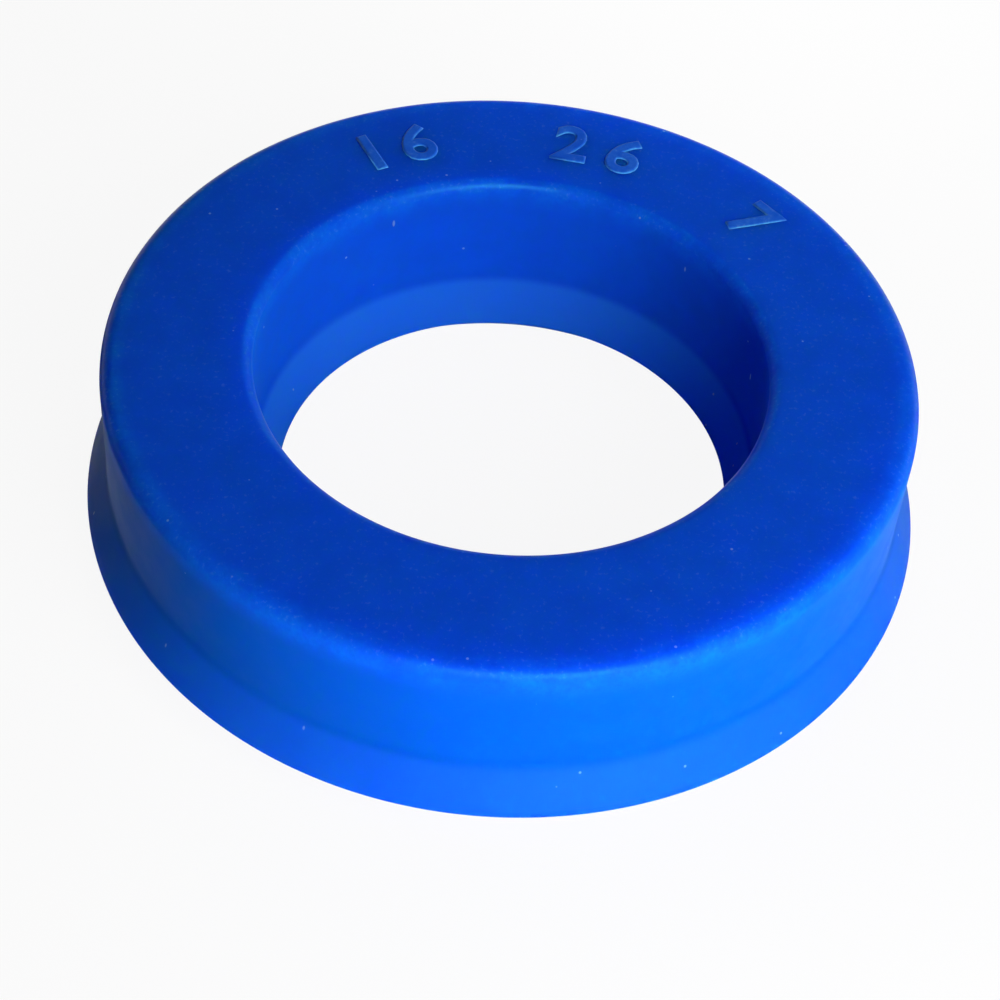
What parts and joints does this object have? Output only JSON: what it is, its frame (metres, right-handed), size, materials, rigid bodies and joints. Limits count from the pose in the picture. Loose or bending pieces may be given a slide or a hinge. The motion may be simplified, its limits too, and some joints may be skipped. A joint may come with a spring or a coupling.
{
  "type": "u-cup rod seal",
  "caption": "Blue polyurethane U-cup ring with a flat heel, rounded heel edges and two flared lips around a groove; seals a rod in a housing.",
  "frame": {"origin": "on the ring's axis, in the plane of the lip ends that the seal stands on", "axes": "+Z along the ring's axis, from the lips towards the heel face"},
  "size_m": [0.0273, 0.0272, 0.007],
  "materials": {
    "polyurethane": "satin, blue, slightly translucent cast polyurethane"
  },
  "bodies": {
    "root": {"seal_ring": "polyurethane"}
  },
  "joints": []
}
